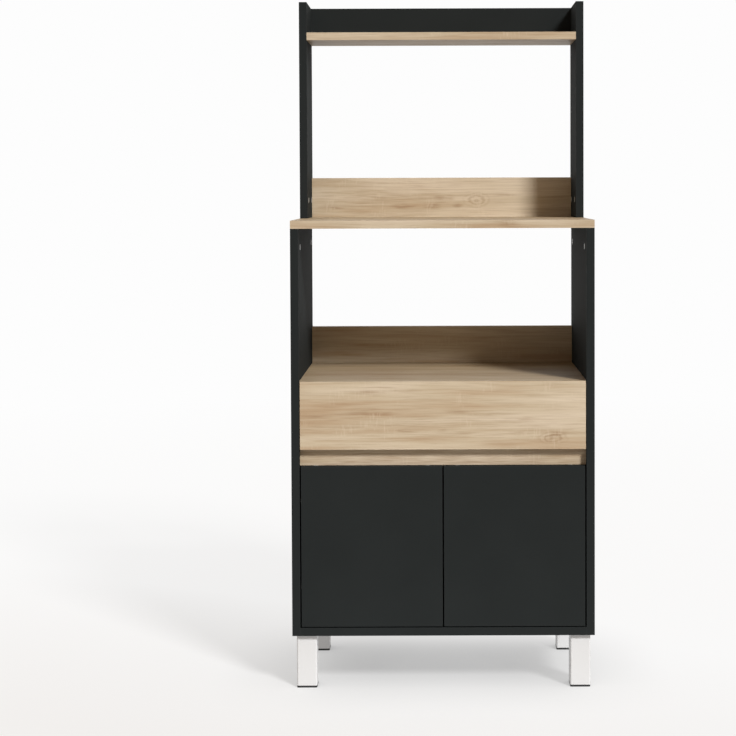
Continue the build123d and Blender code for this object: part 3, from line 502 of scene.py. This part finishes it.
def make_camera(scene):
    """Camera at the photograph's place; lens and shift from the focal length and axis in pixels."""
    data = bpy.data.cameras.new("camera")
    data.sensor_width = SENSOR_MM
    data.lens = FOCAL_PIXELS * SENSOR_MM / IMAGE_SIDE
    data.shift_x = (IMAGE_SIDE / 2 - AXIS_PIXEL[0]) / IMAGE_SIDE
    data.shift_y = (AXIS_PIXEL[1] - IMAGE_SIDE / 2) / IMAGE_SIDE
    camera = bpy.data.objects.new("camera", data)
    camera.location = CAMERA_PLACE
    turn = (Matrix.Rotation(CAMERA_YAW, 4, "Z") @ Matrix.Rotation(math.pi / 2 - CAMERA_PITCH, 4, "X")
            @ Matrix.Rotation(CAMERA_ROLL, 4, "Z"))
    camera.rotation_euler = turn.to_euler()
    scene.collection.objects.link(camera)
    scene.camera = camera


def camera_or_mirror(tree):
    """1 for rays from the camera, in a mirror or through glass, so metal shows the backdrop."""
    path = add(tree, "LightPath").outputs
    seen = add(tree, "Math", {0: path["Is Camera Ray"], 1: path["Is Transmission Ray"]},
               operation="MAXIMUM")
    return add(tree, "Math", {0: seen, 1: path["Is Glossy Ray"]}, operation="MAXIMUM")


def make_world(scene, settings):
    """White surroundings: plain to the camera; as a light warm, dim in front, less so behind."""
    world = bpy.data.worlds.new("studio")
    world.use_nodes = True
    tree = world.node_tree
    tree.nodes.clear()
    way = add(tree, "SeparateXYZ", {"Vector": add(tree, "TexCoord").outputs["Generated"]})
    rear = add(tree, "MapRange", {"Value": way.outputs["Y"], "From Max": WALL_TURN},
               interpolation_type="SMOOTHSTEP")
    rise = add(tree, "Math", {0: way.outputs["Z"]}, operation="ABSOLUTE")
    low = add(tree, "MapRange", {
        "Value": rise, "From Min": WALL_RISE[0], "From Max": WALL_RISE[1],
        "To Min": 1.0, "To Max": 0.0}, interpolation_type="SMOOTHSTEP")
    wall = add(tree, "Math", {0: rear, 1: low}, operation="MULTIPLY")
    glow = add(tree, "MapRange", {"Value": wall, "To Min": settings.fill_front,
                                  "To Max": settings.fill_back})
    light = add(tree, "Background", {"Color": settings.fill_colour, "Strength": glow})
    plain = add(tree, "Background", {"Color": BACKDROP, "Strength": 1.0})
    both = add(tree, "MixShader", {0: camera_or_mirror(tree), 1: light, 2: plain})
    add(tree, "OutputWorld", {"Surface": both})
    scene.world = world


def make_floor(scene):
    """White floor that is partly its own light, tuned to the shadow in the photograph.

    The camera and mirrors see one paint, with less own light in the shade by the stand than far
    off. The rays that light the stand meet a darker paint, and close to the stand the floor's
    own light reaches them too, which brightens the rear legs and what else faces the floor.
    """
    mesh = bpy.data.meshes.new("floor")
    corners = [(-FLOOR_HALF, -FLOOR_HALF, 0), (FLOOR_HALF, -FLOOR_HALF, 0),
               (FLOOR_HALF, FLOOR_HALF, 0), (-FLOOR_HALF, FLOOR_HALF, 0)]
    mesh.from_pydata(corners, [], [(0, 1, 2, 3)])
    floor = bpy.data.objects.new("floor", mesh)
    scene.collection.objects.link(floor)
    material = bpy.data.materials.new("white_sweep")
    material.use_nodes = True
    tree = material.node_tree
    tree.nodes.clear()
    place = add(tree, "TexCoord").outputs["Object"]
    direct = camera_or_mirror(tree)
    paint = add(tree, "Mix", {0: direct, 6: FLOOR_LIGHTS, 7: FLOOR_SEEN}, data_type="RGBA")
    matt = add(tree, "BsdfDiffuse", {"Color": paint.outputs[2]})
    open_sky = add(tree, "AmbientOcclusion", {"Distance": CONTACT_REACH}, samples=16).outputs["AO"]
    strength = add(tree, "Math", {0: open_sky, 1: CONTACT_POWER}, operation="POWER")
    glow = add(tree, "Emission", {"Color": BACKDROP, "Strength": strength})
    far = add(tree, "VectorMath", {0: place}, operation="LENGTH").outputs["Value"]
    along = add(tree, "VectorMath", {0: place, 1: TO_REAR_RIGHT}, operation="DOT_PRODUCT")
    close_by = add(tree, "MapRange", {
        "Value": along.outputs["Value"], "From Min": SHADE_SPAN[0], "From Max": SHADE_SPAN[1],
        "To Min": SHADE_SHARES[0], "To Max": SHADE_SHARES[1]})
    seen = add(tree, "MapRange", {
        "Value": far, "From Min": CLEAR_SPAN[0], "From Max": CLEAR_SPAN[1],
        "To Min": close_by, "To Max": 1.0})
    near = add(tree, "MapRange", {
        "Value": far, "From Min": GLOW_SPAN[0], "From Max": GLOW_SPAN[1],
        "To Min": 1.0, "To Max": 0.0})
    share = add(tree, "Mix", {0: direct, 2: near, 3: seen})
    surface = add(tree, "MixShader", {0: share, 1: matt, 2: glow})
    add(tree, "OutputMaterial", {"Surface": surface})
    mesh.materials.append(material)


def make_key(scene, settings):
    """Sun from the front upper right, as wide as a large soft box."""
    data = bpy.data.lights.new("key", "SUN")
    data.energy = settings.key_strength
    data.angle = settings.key_spread
    lamp = bpy.data.objects.new("key", data)
    towards_lamp = Vector((settings.key_side, -1.0, settings.key_rise))
    lamp.rotation_euler = towards_lamp.to_track_quat("Z", "Y").to_euler()
    scene.collection.objects.link(lamp)


@operator
class STAND_OT_stage(bpy.types.Operator):
    """White floor, soft light and the photograph's camera"""

    bl_idname = "stand.stage"
    bl_label = "Stage"

    def execute(self, context):
        scene = context.scene
        settings = scene.stand_stage
        make_camera(scene)
        make_world(scene, settings)
        make_floor(scene)
        make_key(scene, settings)
        scene.view_settings.view_transform = "Standard"
        return {"FINISHED"}


# ---------------------------------------------------------------- add-on
class STAND_PT_panel(bpy.types.Panel):
    """Settings and steps of the stand."""

    bl_idname = "STAND_PT_panel"
    bl_label = "Microwave stand"
    bl_space_type = "VIEW_3D"
    bl_region_type = "UI"
    bl_category = "Stand"

    def draw(self, context):
        for name in GROUPS:
            group = getattr(context.scene, name)
            box = self.layout.box()
            for key in type(group).__annotations__:
                box.prop(group, key)
        for cls in OPERATORS:
            self.layout.operator(cls.bl_idname)


GROUPS = {
    "stand_oak": StandOak,
    "stand_anthracite": StandAnthracite,
    "stand_stage": StandStage,
}


def register():
    """Register the classes and hang the settings on the scene."""
    for name, cls in GROUPS.items():
        bpy.utils.register_class(cls)
        setattr(bpy.types.Scene, name, bpy.props.PointerProperty(type=cls))
    for cls in OPERATORS:
        bpy.utils.register_class(cls)
    bpy.utils.register_class(STAND_PT_panel)


def unregister():
    """Undo register."""
    bpy.utils.unregister_class(STAND_PT_panel)
    for cls in reversed(OPERATORS):
        bpy.utils.unregister_class(cls)
    for name, cls in GROUPS.items():
        delattr(bpy.types.Scene, name)
        bpy.utils.unregister_class(cls)


def main():
    """Dress the stand step by step."""
    register()
    for cls in OPERATORS:
        group, name = cls.bl_idname.split(".")
        getattr(getattr(bpy.ops, group), name)()


if __name__ == "__main__":
    main()
